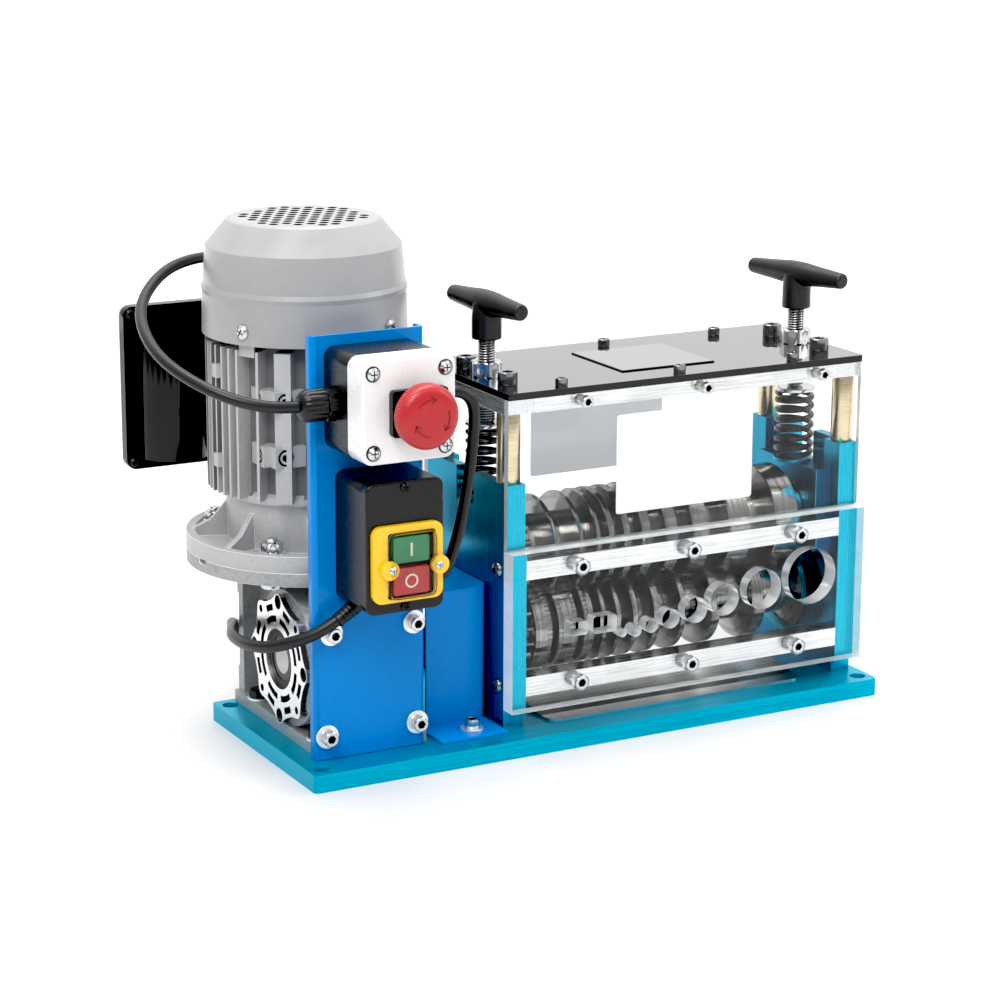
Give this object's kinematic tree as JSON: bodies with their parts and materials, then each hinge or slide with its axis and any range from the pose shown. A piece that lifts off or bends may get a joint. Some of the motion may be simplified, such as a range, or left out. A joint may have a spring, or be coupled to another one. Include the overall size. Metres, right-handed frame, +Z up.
{
  "type": "electric wire stripping machine",
  "caption": "Bench wire stripper: geared motor turns grooved feed rollers under spring loaded cutter discs behind a clear guide panel, with a stop button and a push button switch.",
  "frame": {"origin": "centre of the base plate's bottom face, midway between its four mounting holes", "axes": "+X from the motor towards the roller head along the base, +Y away from the operator, +Z up"},
  "size_m": [0.5023, 0.339, 0.345],
  "materials": {
    "blue_anodised": "brushed and anodised",
    "blue_paint": "powder coat",
    "silver_aluminium": "machined",
    "grey_casting": "cast and painted grey",
    "bright_steel": "zinc plated",
    "roller_steel": "hardened and ground",
    "rod_steel": "yellow passivated",
    "black_gloss": "gloss",
    "black_matte": "satin",
    "black_steel": "black oxide",
    "clear_sheet": "clear acrylic, polished edges",
    "white_plastic": "satin",
    "red_plastic": "satin gloss",
    "green_plastic": "satin",
    "yellow_plastic": "satin",
    "cable_black": "satin",
    "copper_winding": "varnished wire",
    "chute_steel": "sheet"
  },
  "bodies": {
    "frame": {"base_plate": "blue_anodised", "left_end_plate": "blue_anodised", "right_end_plate": "blue_anodised", "guide_rods": "rod_steel", "cap_blocks": "silver_aluminium", "top_cover": "black_gloss", "tie_bars": "silver_aluminium", "upper_shields": "clear_sheet", "guide_panel": "clear_sheet", "frame_screws": "bright_steel", "chute": "chute_steel", "coupling_guard": "blue_paint", "control_bracket": "blue_paint", "mounting_bolts": "bright_steel", "gearbox_housing": "grey_casting", "gearbox_covers": "silver_aluminium", "output_seals": "cable_black", "gearbox_flange": "grey_casting", "shaft_bearings": "bright_steel", "motor_flange": "grey_casting", "motor_housing": "grey_casting", "motor_stator": "copper_winding", "fan_cover": "grey_casting", "terminal_box": "black_gloss", "electrical_parts": "white_plastic", "cover_screws": "bright_steel", "estop_base": "black_matte", "estop_lid": "white_plastic", "estop_actuator": "black_matte", "switch_box": "black_matte", "switch_cover": "black_matte", "switch_frame": "yellow_plastic", "cable_glands": "black_matte", "motor_cable": "cable_black", "switch_cable": "cable_black", "mains_cord": "cable_black", "mains_coil": "cable_black", "mains_plug": "cable_black", "left_spring": "black_steel", "right_spring": "black_steel"},
    "rotor": {"motor_rotor": "bright_steel", "motor_fan": "black_matte", "worm": "roller_steel"},
    "drive": {"drive_shaft": "roller_steel", "worm_wheel": "rod_steel", "drive_gear": "roller_steel", "feed_rollers": "roller_steel"},
    "carriage": {"bearing_blocks": "silver_aluminium", "block_bearings": "bright_steel"},
    "cutter": {"cutter_shaft": "roller_steel", "driven_gear": "roller_steel", "cutter_rollers": "roller_steel"},
    "left_seat": {"left_washer": "bright_steel"},
    "right_seat": {"right_washer": "bright_steel"},
    "left_screw": {"left_t_screw": "black_matte"},
    "right_screw": {"right_t_screw": "black_matte"},
    "stop_stem": {"estop_stem": "black_matte"},
    "stop_head": {"estop_head": "red_plastic"},
    "green": {"green_button": "green_plastic"},
    "red": {"red_button": "red_plastic"}
  },
  "joints": [
    {"name": "motor_spin", "type": "hinge", "parent": "frame", "child": "rotor", "pos_m": [-0.161, 0.042, 0.2], "axis": [0, 0, 1], "continuous": true},
    {"name": "drive_spin", "type": "hinge", "parent": "frame", "child": "drive", "pos_m": [0, 0, 0.064], "axis": [1, 0, 0], "continuous": true},
    {"name": "carriage_lift", "type": "slide", "parent": "frame", "child": "carriage", "axis": [0, 0, 1], "range_m": [0, 0.004], "stiffness_N_per_m": 20000, "springref_m": -0.001, "deforming": ["left_spring", "right_spring"]},
    {"name": "cutter_spin", "type": "hinge", "parent": "carriage", "child": "cutter", "pos_m": [0, 0, 0.118], "axis": [1, 0, 0], "continuous": true},
    {"name": "left_seat_slide", "type": "slide", "parent": "frame", "child": "left_seat", "axis": [0, 0, 1], "range_m": [-0.0035, 0.00175], "deforming": ["left_spring"]},
    {"name": "left_screw_turn", "type": "hinge", "parent": "left_seat", "child": "left_screw", "pos_m": [-0.0495, 0, 0.24], "axis": [0, 0, 1], "range_deg": [-721, 361]},
    {"name": "right_seat_slide", "type": "slide", "parent": "frame", "child": "right_seat", "axis": [0, 0, 1], "range_m": [-0.0035, 0.00175], "deforming": ["right_spring"]},
    {"name": "right_screw_turn", "type": "hinge", "parent": "right_seat", "child": "right_screw", "pos_m": [0.1945, 0, 0.24], "axis": [0, 0, 1], "range_deg": [-721, 361]},
    {"name": "stop_press", "type": "slide", "parent": "frame", "child": "stop_stem", "axis": [0, 1, 0], "range_m": [0, 0.004], "stiffness_N_per_m": 500, "springref_m": -0.001},
    {"name": "stop_twist", "type": "hinge", "parent": "stop_stem", "child": "stop_head", "pos_m": [-0.1595, -0.13, 0.247], "axis": [0, 1, 0], "range_deg": [0, 45], "stiffness_Nm_per_rad": 0.05, "springref_deg": -5.73},
    {"name": "green_press", "type": "slide", "parent": "frame", "child": "green", "axis": [0, 1, 0], "range_m": [0, 0.003], "stiffness_N_per_m": 300, "springref_m": -0.001},
    {"name": "red_press", "type": "slide", "parent": "frame", "child": "red", "axis": [0, 1, 0], "range_m": [0, 0.003], "stiffness_N_per_m": 300, "springref_m": -0.001}
  ],
  "couplings": [
    {"joint": "drive_spin", "follows": "motor_spin", "ratio": -0.033333},
    {"joint": "cutter_spin", "follows": "motor_spin", "ratio": 0.033333},
    {"joint": "left_screw_turn", "follows": "left_seat_slide", "rad_per_m": 3590.4},
    {"joint": "right_screw_turn", "follows": "right_seat_slide", "rad_per_m": 3590.4}
  ]
}
